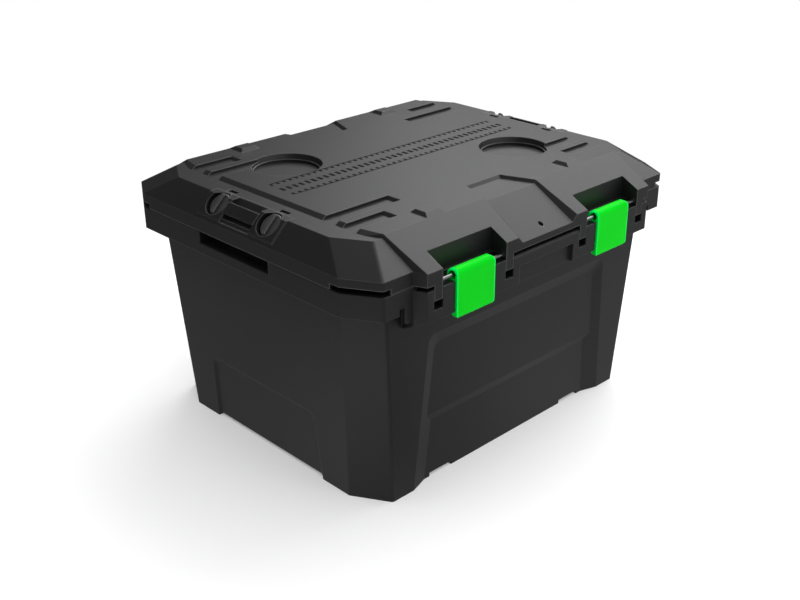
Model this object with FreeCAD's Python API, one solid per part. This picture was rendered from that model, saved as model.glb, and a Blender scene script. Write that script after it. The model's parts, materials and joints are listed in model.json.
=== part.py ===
import FreeCAD, Part
import math
import os

V = FreeCAD.Vector

# Plan outlines: half width, half depth, and the length cut off each corner along the side (mm)
BAND = (285.0, 237.2, 44.1)
TOP = (257.0, 191.6, 45.0)
BASE = (250.2, 209.2, 48.7)
RIM_WALL = (268.0, 220.4, 45.8)
CUT_RATIO = 0.585
CORNER_R = 5.0

# Heights above the ground
PART_Z = 296.0
LID_Z = 296.4
BAND_Z = 314.0
TOP_Z = 341.0
PLATEAU_Z = 345.0
PAD_Z = 349.0
SKIRT_Z = 266.5
FLANGE_Z = 292.0

# Wall thicknesses
WALL_T = 4.0
SKIRT_T = 3.5
FLOOR_Z = 5.5
FLOOR_T = 5.0
FOOT_W = 24.0

# How far cutting shapes run past the surface they cut, and how flat a side is made a plane
PAST = 5.0
FLAT_WITHIN = 1e-4

# Raised middle of the lid: its edges at the top and at the foot of the sloping side
RIDGE_Y = 190.5
PLATEAU_X = 221.5
PLATEAU_FOOT_X = 228.0
PLATEAU_WIDEST_X = 240.0
SHOULDER_Y = 160.0
SHOULDER_X = 214.8
SHOULDER_FOOT_X = 222.5

# Front block that carries the latches, on lid and tub alike
BLOCK_Y = 252.7
BLOCK_X = 207.6
BLOCK_ROOT_X = 214.3
BLOCK_TOP_Z = 313.0
TUB_BLOCK_Z = 291.0
TUB_BLOCK_FOOT_Z = 252.7
BLOCK_ROOT_Z = 237.0
BLOCK_IN_Y = 217.0
LEDGE_Y = 230.0
UNDER_Z = 225.0

# Latches
LATCH_X = 130.0
LATCH_W = 64.0
LATCH_Y = 254.6
LATCH_R = 8.2
LATCH_T = 4.0
LATCH_FOOT_Z = 247.5
LATCH_BEAD_R = 4.0
LATCH_CORNER_R = 6.0
LATCH_EYE_R = 5.2
LATCH_EYE_DEPTH = 6.0
LATCH_PIN_Z = 296.5
LATCH_BAY_W = 67.0
BAY_BACK_Y = 239.5
KEEPER_Z = 268.0
KEEPER_LIP = 5.0
KEEPER_ROOT = 13.0
KEEPER_Y = 243.5
KEEPER_W = 40.0
HOOK_GAP = 0.5
HOOK_H = 5.5
HOOK_TIP_H = 2.5
HOOK_REACH = 6.6
HOOK_W = 30.0
NOTCH_HALF = 53.5
NOTCH_BACK_Y = 227.0
TAB_W = 13.0
TAB_FOOT_Z = 277.0
TAB_SLOT_Z = 266.0
TAB_GAP = 0.8
PIN_R = 2.5
PIN_STOP = 4.0
RUN = 0.05

# Hinges at the back
HINGE_X = 130.0
HINGE_Y = 247.6
HINGE_Z = 296.2
HINGE_R = 7.0
KNUCKLE_LID_W = 24.0
KNUCKLE_TUB_W = 14.0
KNUCKLE_GAP = 0.5
KNUCKLE_ROOT_Y = 235.2
OPEN_ANGLE = math.radians(105.0)
STOP_GAP = 0.4

# Top of the lid
GROOVE_W = 22.7
GROOVE_INNER_Y = 113.0
GROOVE_OUTER_Y = 148.3
GROOVE_INNER_X = 123.5
GROOVE_OUTER_X = 163.5
CUP_X = 134.0
CUP_Y = 80.0
CUP_R = 47.5
CUP_LEDGE = 4.0
CUP_SLANT = 2.5
CUP_STEP_Z = 338.0
CUP_FLOOR_Z = 334.0
PAD_X = 130.0
PAD_HALF = 15.5
PAD_SIDE = 5.0
PAD_BACK_Y = 162.0
PAD_NOSE = 6.0
PLATE_BACK_Y = 145.0
PLATE_BACK_X = 31.0
PLATE_RIDGE_X = 48.0
PLATE_FRONT_X = 55.6
LOCK_R = 3.5
LOCK_Y = 240.0
CLIP_X = 241.5
CLIP_Y = 50.5
CLIP_W = 7.0
CLIP_L = 17.0
CLIP_DEPTH = 2.5
CORNER_SLOT_Z = 303.5
CORNER_SLOT_X = 248.0
CORNER_SLOT_Y = 178.6

# Seal in the lid
SEAL_OUT = 15.0
SEAL_IN = 20.5
SEAL_H = 6.0
SEAL_PLAY = 0.1
RIB_T = 3.0
RIB_Z = 297.5

# Tub details
GRIP_HALF = 69.0
GRIP_Z = 280.0
GRIP_DEPTH = 15.0
GRIP_WALL = 3.0
GUSSET_X = 226.0
GUSSET_W = 9.0
GUSSET_H = 8.0
GUSSET_FOOT_Z = 254.0
FINGER_HALF = 51.0
FINGER_Z = 275.5
FINGER_DEPTH = 5.0
BAR_R = 5.0
CORE_HALF = 22.0
CORE_SKIN = 3.0
CORE_BACK_Y = 224.0
PANEL_TOP_Z = 212.0
PANEL_TOP_HALF = 168.0
PANEL_FOOT_HALF = 188.0
PANEL_FOOT_Z = -20.0
PANEL_BEVEL = 16.0
PANEL_DEPTH = 5.0
PANEL_R = 12.0
STEP_Z = 97.0
STEP_DEPTH = 3.5
SIDE_TOP_HALF = 106.0
SIDE_FOOT_HALF = 112.0
SIDE_BEVEL = 5.0
SIDE_DEPTH = 2.5
FOOT_GAP_Z = 5.4
SIDE_GAP_HALF = 111.0
FRONT_GAP_X = 130.0
FRONT_GAP_W = 40.0

# Tie-down bracket, measured on the slope: u along the edge, v up the slope, n off the slope
BRACKET_U = 75.0
BRACKET_FOOT_V = -14.0
BRACKET_HEAD_V = 26.0
BEZEL_U = 28.0
BEZEL_N = 2.0
BEZEL_EDGE = 1.2
POCKET_N = -10.0
PLATE_N = -6.5
APRON_V = -8.0
APRON_N = -0.3
STRAP_BAR_V = (-3.0, 14.0)
STRAP_BAR_N = (-0.5, 3.5)
STRAP_BAR_EDGE = 1.4
STRAP_BAR_LAP = 2.0
KNOB_U = 50.5
KNOB_V = 7.5
KNOB_R = 15.5
KNOB_WELL_R = 17.5
KNOB_FACE_N = -3.0
KNOB_BACK_N = -5.3
KNOB_FLATS = 24
KNOB_EDGE = 0.8
GRIP_RIB_N = 1.2
GRIP_RIB_W = 5.5
GRIP_RIB_INSET = 2.0
SHAFT_R = 3.0
SHAFT_ROOM = 0.5
SHAFT_PAST = 0.4
RING_HALF = 6.0
RING_T = 1.0
SCREW_R = 1.6
SCREW_L = 8.0
SCREW_HEAD_R = 4.5
SCREW_HEAD_H = 2.6


def blend(a, b, t):
    return tuple(p + (q - p) * t for p, q in zip(a, b))


def wall_at(z):
    return blend(BASE, RIM_WALL, z / PART_Z)


def inset(plan, d):
    """The outline moved inward by d, its corner faces kept parallel."""
    half_x, half_y, cut = plan
    return half_x - d, half_y - d, cut - d * (1 + CUT_RATIO - math.hypot(1, CUT_RATIO)) / CUT_RATIO


def rounded(points, radii):
    """Closed wire through the points with an arc at each corner that has a radius."""
    corners = []
    for i, radius in enumerate(radii):
        before, here, after = points[i - 1], points[i], points[(i + 1) % len(points)]
        a = (before - here).normalize()
        b = (after - here).normalize()
        half = a.getAngle(b) / 2
        reach = radius / math.tan(half)
        middle = here + (a + b).normalize() * (radius / math.sin(half) - radius)
        corners.append((here + a * reach, middle, here + b * reach))
    edges = []
    for i, (start, middle, end) in enumerate(corners):
        if radii[i]:
            edges.append(Part.Arc(start, middle, end).toShape())
        edges.append(Part.makeLine(end, corners[(i + 1) % len(corners)][0]))
    return Part.Wire(edges)


def outline(plan, z, radius):
    half_x, half_y, cut = plan
    quarter = [(half_x, half_y - cut), (half_x - cut * CUT_RATIO, half_y)]
    points = [V(x, y, z) for x, y in quarter]
    points += [V(-x, y, z) for x, y in reversed(quarter)]
    points += [V(-x, -y, z) for x, y in quarter]
    points += [V(x, -y, z) for x, y in reversed(quarter)]
    return rounded(points, [radius] * len(points))


def flat_sided(wire_a, wire_b):
    """Solid between two like wires, its straight sides made true planes."""
    faces = []
    for face in Part.makeLoft([wire_a, wire_b], True, True).Faces:
        points = [vertex.Point for vertex in face.OuterWire.OrderedVertexes]
        if len(points) == 4 and face.findPlane(FLAT_WITHIN):
            face = Part.Face(Part.makePolygon(points + points[:1]))
        faces.append(face)
    shell = Part.Shell(faces)
    shell.sewShape()
    return Part.Solid(shell)


def frustum(plan_a, z_a, plan_b, z_b, radius=0):
    return flat_sided(outline(plan_a, z_a, radius), outline(plan_b, z_b, radius))


def prism(plan, z_a, z_b, radius=0):
    return Part.Face(outline(plan, z_a, radius)).extrude(V(0, 0, z_b - z_a))


def band(plan, out, inn, z_a, z_b):
    """Ring between two insets of an outline."""
    return prism(inset(plan, out), z_a, z_b).cut(prism(inset(plan, inn), z_a - PAST, z_b + PAST))


def box(x, y, z):
    return Part.makeBox(x[1] - x[0], y[1] - y[0], z[1] - z[0], V(x[0], y[0], z[0]))


def around(middle, width):
    return middle - width / 2, middle + width / 2


def along_x(profile, x_a, x_b):
    """Profile of (y, z) points swept from x_a to x_b."""
    wire = Part.makePolygon([V(x_a, y, z) for y, z in profile + profile[:1]])
    return Part.Face(wire).extrude(V(x_b - x_a, 0, 0))


def upright(plan, z_a, z_b):
    """Plan of (x, y) points raised from z_a to z_b."""
    wire = Part.makePolygon([V(x, y, z_a) for x, y in plan + plan[:1]])
    return Part.Face(wire).extrude(V(0, 0, z_b - z_a))


def mirrored(half):
    """Right half of an outline of pairs, completed on the left."""
    return half + [(-x, other) for x, other in reversed(half)]


def flip_x(shape):
    return shape.mirror(V(0, 0, 0), V(1, 0, 0))


def flip_y(shape):
    return shape.mirror(V(0, 0, 0), V(0, 1, 0))


def both_x(shape):
    return [shape, flip_x(shape)]


def four_ways(shape):
    return both_x(shape) + both_x(flip_y(shape))


def flats(count, radius, height):
    """Upright prism with the given number of equal sides."""
    turns = [2 * math.pi * k / count for k in range(count + 1)]
    corners = [V(radius * math.cos(a), radius * math.sin(a), 0) for a in turns]
    return Part.Face(Part.makePolygon(corners)).extrude(V(0, 0, height))


def bevelled(shape, top_z, edge):
    """The shape with a bevel round its top face."""
    return shape.makeChamfer(edge, [line for line in shape.Edges if line.BoundBox.ZMin > top_z - 0.1])


def rod_x(x_a, x_b, y, z, radius):
    return Part.makeCylinder(radius, x_b - x_a, V(x_a, y, z), V(1, 0, 0))


def beyond(a, b, c):
    """Everything on the outer side of the plane through three points, as a thick slab."""
    normal = (b - a).cross(c - a).normalize()
    if normal.x < 0:
        normal = normal * -1
    middle = (a + b + c) * (1 / 3)
    wide = 2 * BAND[0]
    slab = Part.makeBox(wide, wide, BAND[0], V(-wide / 2, -wide / 2, 0))
    slab.Placement = FreeCAD.Placement(middle, FreeCAD.Rotation(V(0, 0, 1), normal))
    return slab


def on_slope(shape, side):
    """Place a shape made in slope coordinates (u, v, n) on the right (+1) or left (-1) bevel."""
    run = BAND[0] - TOP[0]
    rise = TOP_Z - BAND_Z
    length = math.hypot(run, rise)
    up = V(-run / length, 0, rise / length)
    off = V(rise / length, 0, run / length)
    origin = V((BAND[0] + TOP[0]) / 2, 0, (BAND_Z + TOP_Z) / 2)
    frame = FreeCAD.Matrix(0, up.x, off.x, origin.x, 1, 0, 0, 0, 0, up.z, off.z, origin.z, 0, 0, 0, 1)
    placed = shape.copy()
    placed.Placement = FreeCAD.Placement(frame).multiply(shape.Placement)
    if side < 0:
        placed.rotate(V(0, 0, 0), V(0, 0, 1), 180)
    return placed


def front_block():
    """Beam under the lid's front edge, its underside running back to the wall."""
    section = [(-BLOCK_Y, TUB_BLOCK_FOOT_Z), (-BLOCK_Y, TUB_BLOCK_Z), (-BLOCK_IN_Y, TUB_BLOCK_Z)]
    section.append((-BLOCK_IN_Y, BLOCK_ROOT_Z))
    plan = mirrored([(BLOCK_ROOT_X, -BLOCK_IN_Y), (BLOCK_ROOT_X, -BAND[1]), (BLOCK_X, -BLOCK_Y)])
    beam = along_x(section, -BLOCK_ROOT_X, BLOCK_ROOT_X)
    return beam.common(upright(plan, BLOCK_ROOT_Z, TUB_BLOCK_Z))


def wall_panel(top_z, half_top, half_foot, bevel, depth_a, depth_b, radius):
    """Bevel-edged recess in the front wall, open at the ground."""
    lean = (RIM_WALL[1] - BASE[1]) / PART_Z
    taper = (half_top - half_foot) / (top_z - PANEL_FOOT_Z)

    def sheet(inside, depth):
        half = [(half_foot - inside, PANEL_FOOT_Z), (half_top - inside * (1 + taper), top_z - inside)]
        points = [V(x, -(BASE[1] + lean * z) + depth, z) for x, z in mirrored(half)]
        return rounded(points, [0, radius, radius, 0])

    slope = bevel / (depth_b - depth_a)
    return flat_sided(sheet(-PAST * slope, depth_a - PAST), sheet(bevel, depth_b))


def front_recess(radius):
    """Upper panel and the deeper lower one, whose side bevels run on in one line."""
    upper = wall_panel(PANEL_TOP_Z, PANEL_TOP_HALF, PANEL_FOOT_HALF, PANEL_BEVEL, 0, PANEL_DEPTH, radius)
    taper = (PANEL_TOP_HALF - PANEL_FOOT_HALF) / (PANEL_TOP_Z - PANEL_FOOT_Z)
    step_half = PANEL_FOOT_HALF + taper * (STEP_Z - PANEL_FOOT_Z) - PANEL_BEVEL
    foot_half = PANEL_FOOT_HALF - PANEL_BEVEL
    bevel = PANEL_BEVEL * STEP_DEPTH / PANEL_DEPTH
    lower = wall_panel(STEP_Z, step_half, foot_half, bevel, PANEL_DEPTH, PANEL_DEPTH + STEP_DEPTH, 0)
    below = box((-BASE[0], BASE[0]), (-BLOCK_Y, 0), (PANEL_FOOT_Z, STEP_Z))
    return [upper, lower.common(below)]


def side_recess(radius):
    lean = (RIM_WALL[0] - BASE[0]) / PART_Z
    taper = (SIDE_TOP_HALF - SIDE_FOOT_HALF) / (STEP_Z - PANEL_FOOT_Z)

    def sheet(inside, depth):
        head = (SIDE_TOP_HALF - inside * (1 + taper), STEP_Z - inside)
        half = [(SIDE_FOOT_HALF - inside, PANEL_FOOT_Z), head]
        points = [V(BASE[0] + lean * z - depth, y, z) for y, z in mirrored(half)]
        return rounded(points, [0, radius, radius, 0])

    return flat_sided(sheet(-SIDE_BEVEL, -SIDE_DEPTH), sheet(SIDE_BEVEL, SIDE_DEPTH))


def knuckle(centre_x, width, foot):
    """Hinge barrel with an arm; foot gives the arm's (y, z) corners on the body."""
    start, end = around(HINGE_X + centre_x, width)
    return rod_x(start, end, HINGE_Y, HINGE_Z, HINGE_R).fuse(along_x(foot, start, end))


def tub_knuckles():
    """Outer knuckles of one hinge, each with a horn that stops the opened lid."""
    root = KNUCKLE_ROOT_Y
    foot = [(root, PART_Z - 1), (root, SKIRT_Z + PAST), (HINGE_Y, HINGE_Z - HINGE_R), (HINGE_Y, PART_Z - 1)]
    distance = HINGE_Y - BAND[1]
    tilt = OPEN_ANGLE - math.pi / 2

    def horn_top(dy):
        return HINGE_Z + (distance - STOP_GAP - dy * math.sin(tilt)) / math.cos(tilt)

    inner = distance * math.sin(tilt) + STOP_GAP / 2
    horn = [(HINGE_Y + inner, HINGE_Z), (HINGE_Y + HINGE_R, HINGE_Z)]
    horn += [(HINGE_Y + HINGE_R, horn_top(HINGE_R)), (HINGE_Y + inner, horn_top(inner))]
    reach = (KNUCKLE_LID_W + KNUCKLE_TUB_W) / 2 + KNUCKLE_GAP
    result = []
    for offset in (-reach, reach):
        start, end = around(HINGE_X + offset, KNUCKLE_TUB_W)
        piece = knuckle(offset, KNUCKLE_TUB_W, foot).fuse(along_x(horn, start, end))
        result.append(piece.cut(rod_x(start - PAST, end + PAST, HINGE_Y, HINGE_Z, PIN_R)))
    return result


def lid_knuckle():
    root = KNUCKLE_ROOT_Y
    foot = [(root, LID_Z + 1), (root, BAND_Z - 2), (HINGE_Y, HINGE_Z + HINGE_R), (HINGE_Y, LID_Z + 1)]
    start, end = around(HINGE_X, KNUCKLE_LID_W)
    bore = rod_x(start - PAST, end + PAST, HINGE_Y, HINGE_Z, PIN_R + RUN)
    return knuckle(0, KNUCKLE_LID_W, foot).cut(bore)


def latch_bay():
    """Room for the latch between the two lugs of the tub block."""
    return box(around(LATCH_X, LATCH_BAY_W), (-BLOCK_Y - PAST, -BAY_BACK_Y), (UNDER_Z, TUB_BLOCK_Z + PAST))


def keeper():
    """Lip that the nose of the latch hook stands under."""
    root = -BAY_BACK_Y + 1
    profile = [(root, KEEPER_Z), (-KEEPER_Y, KEEPER_Z), (-KEEPER_Y, KEEPER_Z + KEEPER_LIP)]
    profile.append((root, KEEPER_Z + KEEPER_ROOT))
    start, end = around(LATCH_X, KEEPER_W)
    return along_x(profile, start, end)


def tab_places():
    return (LATCH_X - NOTCH_HALF - TAB_W, LATCH_X + NOTCH_HALF)


def tab_slots():
    slots = []
    for x in tab_places():
        width = (x - TAB_GAP, x + TAB_W + TAB_GAP)
        slots.append(box(width, (-BLOCK_Y - PAST, -BAY_BACK_Y + TAB_GAP), (TAB_SLOT_Z, TUB_BLOCK_Z + PAST)))
    return slots


def lift_bar_cuts():
    """Finger recess, padlock hole with the pocket under it, and the rounded edge of the bar above."""
    finger = box((-FINGER_HALF, FINGER_HALF), (-BLOCK_Y - PAST, -BLOCK_Y + FINGER_DEPTH), (UNDER_Z, FINGER_Z))
    skin_y = -BLOCK_Y + FINGER_DEPTH + CORE_SKIN
    core = box((-CORE_HALF, CORE_HALF), (skin_y, -CORE_BACK_Y), (UNDER_Z, FINGER_Z))
    lock = Part.makeCylinder(LOCK_R, TUB_BLOCK_Z - FINGER_Z + 2 * PAST, V(0, -LOCK_Y, FINGER_Z - PAST))
    half = tab_places()[0]
    round_y = -BLOCK_Y + BAR_R
    round_z = TUB_BLOCK_Z - BAR_R
    edge = box((-half, half), (-BLOCK_Y - 1, round_y), (round_z, TUB_BLOCK_Z + 1))
    edge = edge.cut(rod_x(-half - 1, half + 1, round_y, round_z, BAR_R))
    return [finger, core, lock, edge]


def foot_cuts():
    """Hollow under the floor and the gaps between the feet."""
    under = prism(inset(BASE, FOOT_W), -PAST, FLOOR_Z)
    z = (-PAST, FOOT_GAP_Z)
    side_gap = box((BASE[0] - FOOT_W - PAST, BASE[0] + PAST), (-SIDE_GAP_HALF, SIDE_GAP_HALF), z)
    front_gap = box(around(FRONT_GAP_X, FRONT_GAP_W), (-BASE[1] - PAST, -BASE[1] + FOOT_W + PAST), z)
    return [under] + both_x(side_gap) + four_ways(front_gap)


def tub_room():
    """Space inside the walls, which step in behind each outer recess."""
    low = FLOOR_Z + FLOOR_T
    room = frustum(inset(wall_at(low), WALL_T), low, inset(RIM_WALL, WALL_T), PART_Z)
    room = room.fuse(prism(inset(RIM_WALL, WALL_T), PART_Z, PART_Z + PAST))
    for panel in front_recess(0):
        inner = panel.translated(V(0, WALL_T, 0))
        room = room.cut([inner, flip_y(inner)])
    return room.cut(both_x(side_recess(0).translated(V(-WALL_T, 0, 0))))


def grip_box():
    """Solid in the rim channel that the side grip is sunk into."""
    width = 2 * (GRIP_HALF + GRIP_WALL)
    return box((RIM_WALL[0] - WALL_T / 2, BAND[0] - 1), around(0, width), (GRIP_Z - GRIP_WALL, FLANGE_Z + 1))


def gusset_plate():
    """Plate that runs on down from the front skirt beside the block."""
    return box((BLOCK_ROOT_X - 1, GUSSET_X), (-BAND[1], -BAND[1] + SKIRT_T), (GUSSET_FOOT_Z, SKIRT_Z + 1))


def make_tub():
    body = frustum(BASE, 0, wall_at(FLANGE_Z), FLANGE_Z, CORNER_R)
    rim = prism(BAND, SKIRT_Z, PART_Z, CORNER_R).cut(prism(inset(BAND, SKIRT_T), SKIRT_Z - PAST, FLANGE_Z))
    ledge = box((-BLOCK_X, BLOCK_X), (-BLOCK_Y - PAST, -LEDGE_Y), (TUB_BLOCK_Z, PART_Z + PAST))
    shape = body.fuse([rim.cut(ledge), front_block()] + both_x(grip_box()) + both_x(gusset_plate()))
    fronts = front_recess(PANEL_R)
    recesses = fronts + [flip_y(panel) for panel in fronts] + both_x(side_recess(PANEL_R))
    shape = shape.cut([tub_room()] + recesses)
    shape = shape.cut(foot_cuts())

    grip = box((BAND[0] - GRIP_DEPTH, BAND[0] + PAST), (-GRIP_HALF, GRIP_HALF), (GRIP_Z, PART_Z + PAST))
    notch_y = (-BAND[1] - PAST, -BAND[1] + SKIRT_T + 1)
    notch = box((GUSSET_X, GUSSET_X + GUSSET_W), notch_y, (SKIRT_Z - 1, SKIRT_Z + GUSSET_H))
    cuts = both_x(grip) + both_x(notch) + lift_bar_cuts() + both_x(latch_bay())
    for slot in tab_slots():
        cuts += both_x(slot)
    shape = shape.cut(cuts)
    additions = both_x(keeper())
    for piece in tub_knuckles():
        additions += both_x(piece)
    return shape.fuse(additions).removeSplitter()


def plateau():
    """Raised middle of the lid, running down over the front block and the back bevel."""
    slope = (PLATEAU_Z - BLOCK_TOP_Z) / (BLOCK_Y - RIDGE_Y)
    back_z = PLATEAU_Z - slope * (BAND[1] - RIDGE_Y)
    profile = [(-BLOCK_Y, LID_Z), (-BLOCK_Y, BLOCK_TOP_Z), (-RIDGE_Y, PLATEAU_Z), (RIDGE_Y, PLATEAU_Z)]
    profile += [(BAND[1], back_z), (BAND[1], LID_Z)]
    wide = PLATEAU_WIDEST_X
    plan = mirrored([(wide, BAND[1]), (wide, -BAND[1]), (BLOCK_ROOT_X, -BAND[1]), (BLOCK_X, -BLOCK_Y)])
    shape = along_x(profile, -wide, wide).common(upright(plan, LID_Z, PAD_Z))
    side = beyond(V(PLATEAU_X, 0, PLATEAU_Z), V(PLATEAU_X, 9, PLATEAU_Z), V(PLATEAU_FOOT_X, 0, TOP_Z))
    corner = V(SHOULDER_X, -RIDGE_Y, PLATEAU_Z)
    shoulder = beyond(V(PLATEAU_X, -SHOULDER_Y, PLATEAU_Z), corner, V(SHOULDER_FOOT_X, -RIDGE_Y, TOP_Z))
    flank = beyond(corner, V(BLOCK_X, -BLOCK_Y, BLOCK_TOP_Z), V(BLOCK_ROOT_X, -BAND[1], BAND_Z))
    return shape.cut(both_x(side) + four_ways(shoulder) + four_ways(flank))


def stacking_pad():
    """Pad that carries a case stacked on top, its nose lying on the front slope."""
    slope = (PLATEAU_Z - BLOCK_TOP_Z) / (BLOCK_Y - RIDGE_Y)
    rise = PAD_Z - PLATEAU_Z
    nose_y = RIDGE_Y + PAD_NOSE
    profile = [(-PAD_BACK_Y, TOP_Z), (-PAD_BACK_Y, PLATEAU_Z), (-PAD_BACK_Y - rise, PAD_Z)]
    profile += [(-RIDGE_Y + rise / slope, PAD_Z), (-nose_y, PLATEAU_Z - slope * PAD_NOSE)]
    profile.append((-nose_y, TOP_Z - WALL_T))
    pad = along_x(profile, -PAD_HALF, PAD_HALF)
    top_half = PAD_HALF - PAD_SIDE
    side = beyond(V(top_half, 0, PAD_Z), V(top_half, 9, PAD_Z), V(PAD_HALF, 0, PLATEAU_Z))
    return pad.cut(both_x(side)).translated(V(PAD_X, 0, 0))


def groove(inner_x, middle_y):
    """One comb groove with a sloping inner end, open to the side."""
    depth = PLATEAU_Z - TOP_Z
    end = PLATEAU_WIDEST_X + PAST
    high = PLATEAU_Z + PAST
    corners = [(inner_x + depth, TOP_Z), (inner_x - PAST, high), (end, high), (end, TOP_Z)]
    wire = Part.makePolygon([V(x, 0, z) for x, z in corners + corners[:1]])
    return Part.Face(wire).extrude(V(0, GROOVE_W, 0)).translated(V(0, middle_y - GROOVE_W / 2, 0))


def name_plate_recess():
    """Bare plate let into the front middle, with sloping sides, level with the low bevel."""
    slope = (TOP_Z - BAND_Z) / (BAND[1] - TOP[1])
    depth = PLATEAU_Z - TOP_Z
    turn = -TOP[1]
    far = -BLOCK_Y - PAST
    level = [(-PLATE_BACK_Y - depth, TOP_Z), (-PLATE_BACK_Y + depth, PAD_Z), (turn, PAD_Z), (turn, TOP_Z)]
    sloping = [(turn, TOP_Z), (turn, PAD_Z), (far, PAD_Z), (far, TOP_Z - slope * (turn - far))]
    back = V(PLATE_BACK_X, -PLATE_BACK_Y, PLATEAU_Z)
    ridge = V(PLATE_RIDGE_X, -RIDGE_Y, PLATEAU_Z)
    front = V(PLATE_FRONT_X, -BLOCK_Y, BLOCK_TOP_Z)
    down = V(-depth, 0, -depth)
    half = 2 * PLATE_FRONT_X
    level = along_x(level, -half, half).cut(both_x(beyond(back, ridge, ridge + down)))
    sloping = along_x(sloping, -half, half).cut(both_x(beyond(ridge, front, front + down)))
    return level.fuse(sloping)


def cup_centres():
    return [V(CUP_X, -CUP_Y, 0), V(-CUP_X, CUP_Y, 0)]


def cups():
    tools = []
    for centre in cup_centres():
        wide = Part.makeCone(CUP_R - CUP_SLANT, CUP_R, PLATEAU_Z - CUP_STEP_Z, centre + V(0, 0, CUP_STEP_Z))
        deep = Part.makeCylinder(CUP_R - CUP_LEDGE, PAD_Z - CUP_FLOOR_Z, centre + V(0, 0, CUP_FLOOR_Z))
        tools.append(wide.fuse(deep))
    return tools


def bracket_pocket(grow):
    """Pocket for the tie-down bracket in slope coordinates; grow gives the wall left round it."""
    u = (-BRACKET_U - grow, BRACKET_U + grow)
    v = (BRACKET_FOOT_V - grow, BRACKET_HEAD_V + grow)
    return box(u, v, (POCKET_N - grow, -POCKET_N))


def knob_places():
    return [V(u, KNOB_V, 0) for u in (-KNOB_U, KNOB_U)]


def shaft_hole(place, n):
    """Square hole that a knob shaft passes with room to spare."""
    width = 2 * (SHAFT_R + SHAFT_ROOM)
    return box(around(place.x, width), around(place.y, width), n)


def lid_stiffening(outer):
    """Material left inside the lid: seal channel, latch housings, cup floors and bracket wells."""
    roof_z = PART_Z + SEAL_H
    tools = [band(BAND, SEAL_OUT - RIB_T, SEAL_OUT, RIB_Z, TOP_Z)]
    tools.append(band(BAND, SEAL_IN, SEAL_IN + RIB_T, RIB_Z, TOP_Z))
    tools.append(band(BAND, SEAL_OUT - RIB_T, SEAL_IN + RIB_T, roof_z, roof_z + RIB_T))
    housing_x = around(LATCH_X, 2 * (NOTCH_HALF + WALL_T))
    tools += both_x(box(housing_x, (-BAND[1] + 1, -NOTCH_BACK_Y + WALL_T), (LID_Z, TOP_Z)))
    for centre in cup_centres():
        width = 2 * (CUP_R + WALL_T)
        tools.append(box(around(centre.x, width), around(centre.y, width), (CUP_FLOOR_Z - WALL_T, TOP_Z)))
    for side in (-1, 1):
        tools.append(on_slope(bracket_pocket(WALL_T), side))
    return [outer.common(tool) for tool in tools]


def lid_top_cuts():
    """Cups, comb grooves, front and back plates and clip pockets."""
    cuts = cups()
    cuts += four_ways(groove(GROOVE_INNER_X, GROOVE_INNER_Y))
    cuts += four_ways(groove(GROOVE_OUTER_X, GROOVE_OUTER_Y))
    plate = name_plate_recess()
    cuts += [plate, flip_y(plate)]
    clip = box(around(CLIP_X, CLIP_W), around(CLIP_Y, CLIP_L), (TOP_Z - CLIP_DEPTH, TOP_Z + PAST))
    return cuts + four_ways(clip)


def lid_edge_cuts():
    """Latch notches, corner cord slots, padlock hole and the blind holes of the latch pins."""
    notch = box(around(LATCH_X, 2 * NOTCH_HALF), (-BLOCK_Y - PAST, -NOTCH_BACK_Y), (LID_Z - PAST, PAD_Z))
    slot = band(BAND, -PAST, WALL_T + 1, LID_Z - PAST, CORNER_SLOT_Z)
    slot = slot.common(box((CORNER_SLOT_X, 2 * BAND[0]), (CORNER_SLOT_Y, 2 * BAND[1]), (0, CORNER_SLOT_Z)))
    lock = Part.makeCylinder(LOCK_R, PAD_Z - LID_Z, V(0, -LOCK_Y, LID_Z - PAST))
    start, end = around(LATCH_X, 2 * (NOTCH_HALF + TAB_W - PIN_STOP))
    pin = rod_x(start, end, -LATCH_Y + LATCH_R, LATCH_PIN_Z, PIN_R)
    return both_x(notch) + four_ways(slot) + [lock] + both_x(pin)


def make_lid():
    low = prism(BAND, LID_Z, BAND_Z, CORNER_R).fuse(frustum(BAND, BAND_Z, TOP, TOP_Z, CORNER_R))
    outer = low.fuse([plateau()] + four_ways(stacking_pad()))
    bend_z = BAND_Z - WALL_T / 2
    hollow = prism(inset(BAND, WALL_T), LID_Z - PAST, bend_z)
    hollow = hollow.fuse(frustum(inset(BAND, WALL_T), bend_z, inset(TOP, WALL_T), TOP_Z - WALL_T))
    tabs = []
    for x in tab_places():
        tabs += both_x(box((x, x + TAB_W), (-BLOCK_Y, -BAY_BACK_Y), (TAB_FOOT_Z, LID_Z + RIB_T)))
    shape = outer.cut(hollow).fuse(lid_stiffening(outer) + tabs + both_x(lid_knuckle()))
    cuts = lid_top_cuts() + lid_edge_cuts()
    for side in (-1, 1):
        cuts.append(on_slope(bracket_pocket(0), side))
        for place in knob_places():
            hole = shaft_hole(place, (POCKET_N - WALL_T - PAST, POCKET_N + PAST))
            cuts.append(on_slope(hole, side))
    return shape.cut(cuts).removeSplitter()


def make_seal():
    return band(BAND, SEAL_OUT + SEAL_PLAY, SEAL_IN - SEAL_PLAY, PART_Z, PART_Z + SEAL_H)


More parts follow.
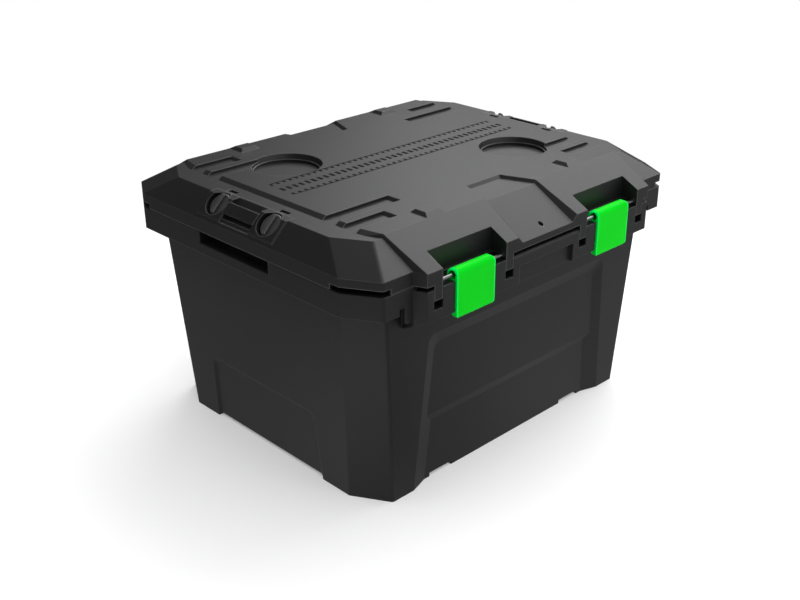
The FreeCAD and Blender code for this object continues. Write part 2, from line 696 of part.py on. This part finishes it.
def make_latch(side):
    """Plate curled over the pin, with a hook behind and a bead along the foot."""
    axis_y = -LATCH_Y + LATCH_R
    half = LATCH_W / 2
    back_y = -LATCH_Y + LATCH_T
    plate = box((-half, half), (-LATCH_Y, back_y), (LATCH_FOOT_Z, LATCH_PIN_Z))
    barrel = rod_x(-half, half, axis_y, LATCH_PIN_Z, LATCH_R)
    bead = rod_x(-half, half, -LATCH_Y + LATCH_BEAD_R, LATCH_FOOT_Z, LATCH_BEAD_R)
    top = KEEPER_Z - HOOK_GAP
    tip = back_y + HOOK_REACH
    profile = [(back_y - 1, top), (tip, top), (tip, top - HOOK_TIP_H), (back_y - 1, top - HOOK_H)]
    hook = along_x(profile, -HOOK_W / 2, HOOK_W / 2)
    low = LATCH_FOOT_Z - LATCH_BEAD_R
    high = LATCH_PIN_Z + LATCH_R
    face = [V(x, -BLOCK_Y - PAST, z) for x, z in ((-half, low), (half, low), (half, high), (-half, high))]
    face = Part.Face(rounded(face, [LATCH_CORNER_R] * len(face)))
    shape = plate.fuse([barrel, bead, hook]).removeSplitter().common(face.extrude(V(0, BLOCK_Y, 0)))
    bore = rod_x(-half - 1, half + 1, axis_y, LATCH_PIN_Z, PIN_R + RUN)
    eye = rod_x(half - LATCH_EYE_DEPTH, half + 1, axis_y, LATCH_PIN_Z, LATCH_EYE_R)
    return shape.cut(both_x(eye) + [bore]).translated(V(side * LATCH_X, 0, 0))


def make_latch_pin(side):
    start, end = around(side * LATCH_X, 2 * (NOTCH_HALF + TAB_W - PIN_STOP))
    return rod_x(start, end, -LATCH_Y + LATCH_R, LATCH_PIN_Z, PIN_R)


def make_hinge_pin(side):
    start, end = around(side * HINGE_X, KNUCKLE_LID_W + 2 * (KNUCKLE_GAP + KNUCKLE_TUB_W))
    return rod_x(start, end, HINGE_Y, HINGE_Z, PIN_R)


def make_bracket(side):
    """Two knob bezels joined by a strap bar over an open passage, trimmed level with the lid."""
    plate = box((-BRACKET_U, BRACKET_U), (BRACKET_FOOT_V, BRACKET_HEAD_V), (POCKET_N, PLATE_N))
    bezel = box((BEZEL_U, BRACKET_U), (BRACKET_FOOT_V, BRACKET_HEAD_V), (POCKET_N, BEZEL_N))
    bezel = bevelled(bezel, BEZEL_N, BEZEL_EDGE)
    apron = box((-BEZEL_U, BEZEL_U), (BRACKET_FOOT_V, APRON_V), (POCKET_N, APRON_N))
    reach = BEZEL_U + STRAP_BAR_LAP
    bar = box((-reach, reach), STRAP_BAR_V, STRAP_BAR_N)
    bar = bar.makeChamfer(STRAP_BAR_EDGE, [edge for edge in bar.Edges if edge.BoundBox.XLength > BEZEL_U])
    shape = plate.fuse(both_x(bezel) + [apron, bar])
    cuts = []
    for place in knob_places():
        cuts.append(Part.makeCylinder(KNOB_WELL_R, 2 * PAST, place + V(0, 0, PLATE_N)))
        cuts.append(Part.makeCylinder(SHAFT_R + RUN, 4 * PAST, place + V(0, 0, POCKET_N - PAST)))
    shape = on_slope(shape.cut(cuts).removeSplitter(), side)
    return shape.common(box((-BAND[0], BAND[0]), (-BAND[1], BAND[1]), (LID_Z, TOP_Z)))


def make_knob(side, u):
    """Disc with a finely faceted rim, a grip rib and a shaft that turns in the bracket plate."""
    disc = flats(KNOB_FLATS, KNOB_R, KNOB_FACE_N - KNOB_BACK_N).translated(V(0, 0, KNOB_BACK_N))
    disc = bevelled(disc, KNOB_FACE_N, KNOB_EDGE)
    half = KNOB_R - GRIP_RIB_INSET
    rib = box(around(0, GRIP_RIB_W), (-half, half), (KNOB_BACK_N, GRIP_RIB_N))
    rib = bevelled(rib, GRIP_RIB_N, KNOB_EDGE)
    shaft_end = POCKET_N - WALL_T - SHAFT_PAST
    shaft = Part.makeCylinder(SHAFT_R, KNOB_BACK_N - shaft_end, V(0, 0, shaft_end))
    thread = Part.makeCylinder(SCREW_R, SCREW_L, V(0, 0, shaft_end))
    knob = disc.fuse([rib, shaft]).removeSplitter().cut(thread)
    return on_slope(knob.translated(V(u, KNOB_V, 0)), side)


def make_ring(side, u):
    """Square friction ring under the knob, held from turning by the bracket."""
    n = (PLATE_N, PLATE_N + RING_T)
    ring = box(around(u, 2 * RING_HALF), around(KNOB_V, 2 * RING_HALF), n)
    return on_slope(ring.cut(shaft_hole(V(u, KNOB_V, 0), n)), side)


def make_screw(side, u):
    """Hexagon head behind the lid with its shank in the knob shaft."""
    seat = POCKET_N - WALL_T - SHAFT_PAST
    head = flats(6, SCREW_HEAD_R, SCREW_HEAD_H).translated(V(0, 0, -SCREW_HEAD_H))
    shank = Part.makeCylinder(SCREW_R, SCREW_L)
    return on_slope(head.fuse(shank).translated(V(u, KNOB_V, seat)), side)


def main():
    os.makedirs("parts", exist_ok=True)
    nodes = {"tub": make_tub(), "lid": make_lid(), "lid_seal": make_seal()}
    for name, side in (("left", -1), ("right", 1)):
        nodes["latch_" + name] = make_latch(side)
        nodes["latch_pin_" + name] = make_latch_pin(side)
        nodes["hinge_pin_" + name] = make_hinge_pin(side)
        nodes["tie_down_" + name] = make_bracket(side)
        for end, y_sign in (("front", -1), ("rear", 1)):
            u = KNOB_U * y_sign * side
            nodes["knob_" + name + "_" + end] = make_knob(side, u)
            nodes["knob_ring_" + name + "_" + end] = make_ring(side, u)
            nodes["knob_screw_" + name + "_" + end] = make_screw(side, u)
    for name, shape in nodes.items():
        shape.exportStep("parts/" + name + ".step")
        solids = len(shape.Solids)
        print(name, "solids", solids, "valid", shape.isValid(), "cm3", round(shape.Volume / 1000, 1))


main()
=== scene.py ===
import bpy
import json
import math
from mathutils import Matrix, Vector


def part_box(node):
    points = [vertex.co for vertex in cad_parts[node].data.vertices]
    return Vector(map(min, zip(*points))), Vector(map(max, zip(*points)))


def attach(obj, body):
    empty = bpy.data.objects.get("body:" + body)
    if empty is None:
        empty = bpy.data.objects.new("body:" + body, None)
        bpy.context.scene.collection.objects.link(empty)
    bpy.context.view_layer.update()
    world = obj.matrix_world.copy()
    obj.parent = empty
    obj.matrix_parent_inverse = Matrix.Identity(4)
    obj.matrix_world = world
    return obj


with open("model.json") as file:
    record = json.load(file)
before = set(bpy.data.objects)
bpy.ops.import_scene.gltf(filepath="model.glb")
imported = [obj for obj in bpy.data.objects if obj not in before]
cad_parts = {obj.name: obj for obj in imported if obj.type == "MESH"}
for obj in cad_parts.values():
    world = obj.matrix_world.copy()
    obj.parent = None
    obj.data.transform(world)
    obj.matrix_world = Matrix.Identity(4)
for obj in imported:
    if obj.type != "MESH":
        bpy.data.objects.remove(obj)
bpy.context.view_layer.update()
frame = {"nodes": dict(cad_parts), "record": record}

# Lengths are in metres, colours are linear

# Camera, found by fitting the corners of the case to the photo
LENS_MM = 49.9
SENSOR_MM = 36.0
EYE = Vector((-0.9945, -1.0256, 0.7966))
YAW = math.radians(46.06)
PITCH = math.radians(24.98)
ROLL = math.radians(-0.39)

# Lid marks: y, width and length of the ticks in each row, y and width of each fine line
MARK_PITCH = 0.010
MARK_REACH = 0.195
MARK_ROWS = ((0.0280, 0.0028, 0.0060), (0.0053, 0.0042, 0.0100), (-0.0157, 0.0028, 0.0060))
MARK_LINES = ((0.0312, 0.0009), (-0.0189, 0.0009))
MARK_HEIGHT = 0.0003
# The stacking pads are the top of the lid and stand this far above the face with the marks
PAD_RISE = 0.004

# Moulded plastic: slow drift of the tone, fine grain, rounding of the edges
DRIFT_SCALE = 9.0
DRIFT_DETAIL = 2.0
DRIFT_FROM = (0.3, 0.7)
DRIFT_SHARES = (0.92, 1.08)
GRAIN_SCALE = 900.0
GRAIN_DETAIL = 3.0
GRAIN_DEPTH = 0.0004
GRAIN_SHEEN = 0.08
EDGE_SAMPLES = 6

# Edge wear and painted edge highlight: usual width, and the share of open directions under the surface where
# the paler tone starts and is full
WEAR_AND_HIGHLIGHT_WIDTH = 0.0016
WEAR_AND_HIGHLIGHT_FROM = (0.92, 0.55)
WEAR_AND_HIGHLIGHT_SAMPLES = 6

# Steel
STEEL_COLOUR = (0.24, 0.24, 0.25)
STEEL_SCALE = 300.0
STEEL_DETAIL = 2.0
STEEL_ROUGHNESS = (0.25, 0.40)

# Light: radiance of the room at eye level and overhead, lamp powers in watts
ROOM_GLOW = (0.05, 0.16)
SKY_POWER = 225.0
SKY_PLACE = (0.0, 0.0, 3.4)
SKY_SIZE = (7.0, 7.0)
WINDOW_SIZE = (3.1, 2.1)
WINDOW_AWAY = 2.6
WINDOW_AIM = Vector((0.0, 0.0, 0.3))
# Name, turn from +X in degrees, rise over the floor in degrees, power
WINDOWS = (("window", 15.0, 46.0, 66.0), ("fill", -100.0, 25.0, 14.0), ("low_fill", -50.0, 16.0, 13.0))

# Floor, with the share of white that is mixed in near the case and the distances over which it grows to all
FLOOR_SIZE = 4.6
FLOOR_TONE = 0.95
FLOOR_ROUGHNESS = 0.9
FLOOR_PALE = 0.25
FLOOR_EDGE = (0.50, 1.15)

# Floor in the gloss of the case, a painted reflection that glows for glossy rays only: strength along a
# level direction, then centre, radius and change of brighter and darker patches
FLOOR_FADE_WAY = (1.0, -0.35, 0.0)
FLOOR_FADE = (-1.05, -0.60)
FLOOR_SEEN = (0.14, 0.33)
FLOOR_GLOWS = (
    ((-0.62, -0.24, 0.0), 0.50, 0.50),
    ((0.50, -0.27, 0.0), 0.60, 0.13),
    ((0.12, -0.24, 0.0), 0.28, 0.10),
    ((-0.16, -0.50, 0.0), 0.36, -0.25),
    ((0.90, 0.20, 0.0), 0.60, 0.20),
    ((0.20, 0.85, 0.0), 0.65, 0.35),
)


def camera():
    """Camera of the photo."""
    data = bpy.data.cameras.new("camera")
    data.lens = LENS_MM
    data.sensor_width = SENSOR_MM
    cam = bpy.data.objects.new("camera", data)
    bpy.context.scene.collection.objects.link(cam)
    forward = Vector((math.cos(YAW) * math.cos(PITCH), math.sin(YAW) * math.cos(PITCH), -math.sin(PITCH)))
    right = Vector((math.sin(YAW), -math.cos(YAW), 0.0))
    up = right.cross(forward)
    turned = right * math.cos(ROLL) + up * math.sin(ROLL)
    upward = up * math.cos(ROLL) - right * math.sin(ROLL)
    axes = Matrix((turned, upward, -forward)).transposed().to_4x4()
    cam.matrix_world = Matrix.Translation(EYE) @ axes
    bpy.context.scene.camera = cam


def noise(tree, scale, detail):
    """Noise that stays in place on the object."""
    place = tree.nodes.new("ShaderNodeTexCoord")
    node = tree.nodes.new("ShaderNodeTexNoise")
    node.inputs["Scale"].default_value = scale
    node.inputs["Detail"].default_value = detail
    tree.links.new(place.outputs["Object"], node.inputs["Vector"])
    return node.outputs["Fac"]


def mapped(tree, value, old, new, smooth=False):
    """The value, taken from the old range to the new one and held at its ends."""
    node = tree.nodes.new("ShaderNodeMapRange")
    if smooth:
        node.interpolation_type = "SMOOTHSTEP"
    node.inputs["From Min"].default_value, node.inputs["From Max"].default_value = old
    node.inputs["To Min"].default_value, node.inputs["To Max"].default_value = new
    tree.links.new(value, node.inputs["Value"])
    return node.outputs["Result"]


def wear_and_highlight_edges(tree, colour, wear_and_highlight_tone, width):
    """Mix a paler tone into the colour along convex edges: partly wear where handling rubs the plastic,
    partly a painted highlight where rounded edges would catch the light.
    """
    edge = tree.nodes.new("ShaderNodeAmbientOcclusion")
    edge.inside = True
    edge.only_local = True
    edge.samples = WEAR_AND_HIGHLIGHT_SAMPLES
    edge.inputs["Distance"].default_value = width
    mix = tree.nodes.new("ShaderNodeMix")
    mix.data_type = "RGBA"
    mix.inputs["B"].default_value = (*wear_and_highlight_tone, 1.0)
    tree.links.new(mapped(tree, edge.outputs["AO"], WEAR_AND_HIGHLIGHT_FROM, (0.0, 1.0)), mix.inputs["Factor"])
    tree.links.new(colour, mix.inputs["A"])
    return mix.outputs["Result"]


def plastic(name, colour, roughness, grain, edge, gloss=0.5, wear_and_highlight_tone=None, width=WEAR_AND_HIGHLIGHT_WIDTH):
    """Moulded plastic: fine grain, slight tone drift, softly rounded edges, perhaps with a paler edge tone
    that is partly wear and partly a painted highlight.
    """
    mat = bpy.data.materials.new(name)
    mat.use_nodes = True
    tree = mat.node_tree
    shader = tree.nodes["Principled BSDF"]
    shader.inputs["Specular IOR Level"].default_value = gloss
    drift = tree.nodes.new("ShaderNodeValToRGB")
    for stop, position, share in zip(drift.color_ramp.elements, DRIFT_FROM, DRIFT_SHARES):
        stop.position = position
        stop.color = [part * share for part in colour] + [1.0]
    tree.links.new(noise(tree, DRIFT_SCALE, DRIFT_DETAIL), drift.inputs["Fac"])
    tone = drift.outputs["Color"]
    # Paler tone on convex edges: partly wear, partly a painted highlight
    if wear_and_highlight_tone:
        tone = wear_and_highlight_edges(tree, tone, wear_and_highlight_tone, width)
    tree.links.new(tone, shader.inputs["Base Color"])
    fine = noise(tree, GRAIN_SCALE, GRAIN_DETAIL)
    sheen = (roughness - GRAIN_SHEEN, roughness + GRAIN_SHEEN)
    tree.links.new(mapped(tree, fine, (0.0, 1.0), sheen), shader.inputs["Roughness"])
    soft = tree.nodes.new("ShaderNodeBevel")
    soft.samples = EDGE_SAMPLES
    soft.inputs["Radius"].default_value = edge
    bump = tree.nodes.new("ShaderNodeBump")
    bump.inputs["Strength"].default_value = grain
    bump.inputs["Distance"].default_value = GRAIN_DEPTH
    tree.links.new(fine, bump.inputs["Height"])
    tree.links.new(soft.outputs["Normal"], bump.inputs["Normal"])
    tree.links.new(bump.outputs["Normal"], shader.inputs["Normal"])
    return mat


def steel(name):
    """Bright steel with small changes in its polish."""
    mat = bpy.data.materials.new(name)
    mat.use_nodes = True
    tree = mat.node_tree
    shader = tree.nodes["Principled BSDF"]
    shader.inputs["Base Color"].default_value = (*STEEL_COLOUR, 1.0)
    shader.inputs["Metallic"].default_value = 1.0
    polish = noise(tree, STEEL_SCALE, STEEL_DETAIL)
    tree.links.new(mapped(tree, polish, (0.0, 1.0), STEEL_ROUGHNESS), shader.inputs["Roughness"])
    return mat


def finishes():
    """Material of each slot, and those of the lid and the knobs, whose edges carry a stronger painted
    highlight; the knobs are also painted lighter than the fitting plastic, as if lit.
    """
    black = (0.008, 0.008, 0.0085)
    return {
        "body_plastic": plastic("body", colour=black, roughness=0.45, grain=0.12, edge=0.0025,
                                wear_and_highlight_tone=(0.020, 0.020, 0.021)),
        # Lid: the body plastic with a strong painted highlight along its edges
        "lid": plastic("lid", colour=black, roughness=0.45, grain=0.12, edge=0.0012,
                       wear_and_highlight_tone=(0.100, 0.100, 0.102), width=0.0012),
        "fitting_plastic": plastic("fitting", colour=(0.007, 0.007, 0.0075), roughness=0.40, grain=0.05,
                                   edge=0.0008, wear_and_highlight_tone=(0.055, 0.055, 0.056)),
        # Knobs: the fitting plastic painted lighter, as if lit, with a strong painted rim highlight
        "knob": plastic("knob", colour=(0.037, 0.037, 0.038), roughness=0.36, grain=0.05, edge=0.0008,
                        wear_and_highlight_tone=(0.150, 0.150, 0.152)),
        # Latch: its pale green edges are a painted highlight
        "latch_plastic": plastic("latch", colour=(0.0, 0.57, 0.008), roughness=0.38, grain=0.03, edge=0.0014,
                                 gloss=0.04, wear_and_highlight_tone=(0.0, 1.0, 0.13), width=0.0030),
        "pin_steel": steel("steel"),
        "seal_rubber": plastic("seal", colour=(0.010, 0.010, 0.010), roughness=0.75, grain=0.1, edge=0.0005),
    }


def paint(mats):
    """Give every CAD node the material of its slot; the lid and the knobs have their own, with stronger
    painted edge highlights.
    """
    slots = {entry["node"]: entry["material_slot"] for entry in frame["record"]["subparts"]}
    for name, obj in frame["nodes"].items():
        finish = slots[name]
        if name == "lid":
            finish = "lid"
        elif finish == "fitting_plastic" and name.startswith("knob_"):
            finish = "knob"
        obj.data.materials.clear()
        obj.data.materials.append(mats[finish])


def lid_marks(mat):
    """Ruler without figures on the lid: rows of raised ticks between two fine lines."""
    face_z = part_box("lid")[1].z - PAD_RISE
    verts = []
    faces = []

    def bar(x, y, width, length):
        first = len(verts)
        for z in (face_z - MARK_HEIGHT, face_z + MARK_HEIGHT):
            for dx, dy in ((-1, -1), (1, -1), (1, 1), (-1, 1)):
                verts.append((x + dx * width / 2, y + dy * length / 2, z))
        faces.append([first + 3, first + 2, first + 1, first])
        faces.append([first + 4, first + 5, first + 6, first + 7])
        for side in range(4):
            after = (side + 1) % 4
            faces.append([first + side, first + after, first + 4 + after, first + 4 + side])

    count = int(round(MARK_REACH / MARK_PITCH))
    for row_y, width, length in MARK_ROWS:
        for step in range(-count, count + 1):
            bar(step * MARK_PITCH, row_y, width, length)
    for line_y, width in MARK_LINES:
        bar(0.0, line_y, 2 * MARK_REACH + MARK_PITCH / 2, width)
    mesh = bpy.data.meshes.new("lid_marks")
    mesh.from_pydata(verts, [], faces)
    obj = bpy.data.objects.new("lid_marks", mesh)
    bpy.context.scene.collection.objects.link(obj)
    mesh.materials.append(mat)
    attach(obj, "lid_body")


def area_light(name, place, target, size, power, glossy=True):
    """Rectangular lamp that the camera doesn't see."""
    data = bpy.data.lights.new(name, "AREA")
    data.shape = "RECTANGLE"
    data.size, data.size_y = size
    data.energy = power
    lamp = bpy.data.objects.new(name, data)
    lamp.location = place
    lamp.rotation_euler = (Vector(target) - Vector(place)).to_track_quat("-Z", "Y").to_euler()
    lamp.visible_glossy = glossy
    lamp.visible_camera = False
    bpy.context.scene.collection.objects.link(lamp)


def window(name, turn, rise, power):
    """Large lamp at a turn from +X and a rise over the floor, facing the lid."""
    flat = WINDOW_AWAY * math.cos(rise)
    way = Vector((flat * math.cos(turn), flat * math.sin(turn), WINDOW_AWAY * math.sin(rise)))
    area_light(name, WINDOW_AIM + way, WINDOW_AIM, WINDOW_SIZE, power)


def mixed(tree, share, first, second):
    """Shader that goes from the first to the second with the share."""
    node = tree.nodes.new("ShaderNodeMixShader")
    tree.links.new(share, node.inputs["Fac"])
    tree.links.new(first, node.inputs[1])
    tree.links.new(second, node.inputs[2])
    return node.outputs["Shader"]


def seen_by(tree, ray):
    """One for light paths of this kind and zero for others."""
    return tree.nodes.new("ShaderNodeLightPath").outputs[ray]


def surroundings():
    """Room that is white to the camera and dim for everything else, brighter overhead than at eye level."""
    world = bpy.data.worlds.new("studio")
    bpy.context.scene.world = world
    world.use_nodes = True
    tree = world.node_tree
    room = tree.nodes["Background"]
    room.inputs["Color"].default_value = (1.0, 1.0, 1.0, 1.0)
    way = tree.nodes.new("ShaderNodeTexCoord")
    parts = tree.nodes.new("ShaderNodeSeparateXYZ")
    tree.links.new(way.outputs["Generated"], parts.inputs["Vector"])
    glow = mapped(tree, parts.outputs["Z"], (0.0, 1.0), ROOM_GLOW)
    tree.links.new(glow, room.inputs["Strength"])
    white = tree.nodes.new("ShaderNodeBackground")
    white.inputs["Color"].default_value = (1.0, 1.0, 1.0, 1.0)
    white.inputs["Strength"].default_value = 1.0
    camera_sees = seen_by(tree, "Is Camera Ray")
    result = mixed(tree, camera_sees, room.outputs["Background"], white.outputs["Background"])
    tree.links.new(result, tree.nodes["World Output"].inputs["Surface"])


def floor_measure(tree, operation, other):
    """Dot product or distance of the place on the floor and another vector."""
    place = tree.nodes.new("ShaderNodeTexCoord")
    node = tree.nodes.new("ShaderNodeVectorMath")
    node.operation = operation
    node.inputs[1].default_value = other
    tree.links.new(place.outputs["Object"], node.inputs[0])
    return node.outputs["Value"]


def floor_reflection(tree, plain):
    """In the gloss of the case the floor is a painted reflection: it glows grey for glossy rays only, with
    soft brighter and darker patches, and dimmer far behind on the left.
    """
    level = mapped(tree, floor_measure(tree, "DOT_PRODUCT", FLOOR_FADE_WAY), FLOOR_FADE, FLOOR_SEEN)
    # Patches that glow brighter, or with a negative change darker, in the case's gloss: painted reflections
    for centre, radius, strength in FLOOR_GLOWS:
        away = floor_measure(tree, "DISTANCE", centre)
        total = tree.nodes.new("ShaderNodeMath")
        tree.links.new(mapped(tree, away, (0.0, radius), (strength, 0.0), smooth=True), total.inputs[0])
        tree.links.new(level, total.inputs[1])
        level = total.outputs["Value"]
    painted_reflection_glow = tree.nodes.new("ShaderNodeEmission")
    tree.links.new(level, painted_reflection_glow.inputs["Strength"])
    return mixed(tree, seen_by(tree, "Is Glossy Ray"), plain, painted_reflection_glow.outputs["Emission"])


def floor_edge(tree, near):
    """Away from the case the camera sees the floor turn into the white of the room."""
    away = floor_measure(tree, "DISTANCE", (0.0, 0.0, 0.0))
    share = tree.nodes.new("ShaderNodeMath")
    share.operation = "MULTIPLY"
    tree.links.new(mapped(tree, away, FLOOR_EDGE, (FLOOR_PALE, 1.0)), share.inputs[0])
    tree.links.new(seen_by(tree, "Is Camera Ray"), share.inputs[1])
    white = tree.nodes.new("ShaderNodeEmission")
    return mixed(tree, share.outputs["Value"], near, white.outputs["Emission"])


def floor_finish(name):
    """Matt pale floor."""
    mat = bpy.data.materials.new(name)
    mat.use_nodes = True
    tree = mat.node_tree
    shader = tree.nodes["Principled BSDF"]
    shader.inputs["Roughness"].default_value = FLOOR_ROUGHNESS
    shader.inputs["Specular IOR Level"].default_value = 0.0
    shader.inputs["Base Color"].default_value = (FLOOR_TONE, FLOOR_TONE, FLOOR_TONE, 1.0)
    result = floor_edge(tree, floor_reflection(tree, shader.outputs["BSDF"]))
    tree.links.new(result, tree.nodes["Material Output"].inputs["Surface"])
    return mat


def studio():
    """Pale floor under a wide lamp overhead and three windows."""
    surroundings()
    bpy.ops.mesh.primitive_plane_add(size=FLOOR_SIZE, location=(0, 0, 0))
    floor = bpy.context.object
    floor.name = "floor"
    floor.data.materials.append(floor_finish("floor"))
    area_light("sky", SKY_PLACE, (0, 0, 0), SKY_SIZE, SKY_POWER, glossy=False)
    for name, turn, rise, power in WINDOWS:
        window(name, math.radians(turn), math.radians(rise), power)
    bpy.context.scene.view_settings.view_transform = "Standard"


paint(finishes())
# The ticks are real; their near-black matt tone is partly painted shade, standing in for the shade in the
# moulded marks
lid_marks(plastic("marks", colour=(0.003, 0.003, 0.003), roughness=0.8, grain=0.05, edge=0.0003, gloss=0.12))
studio()
camera()
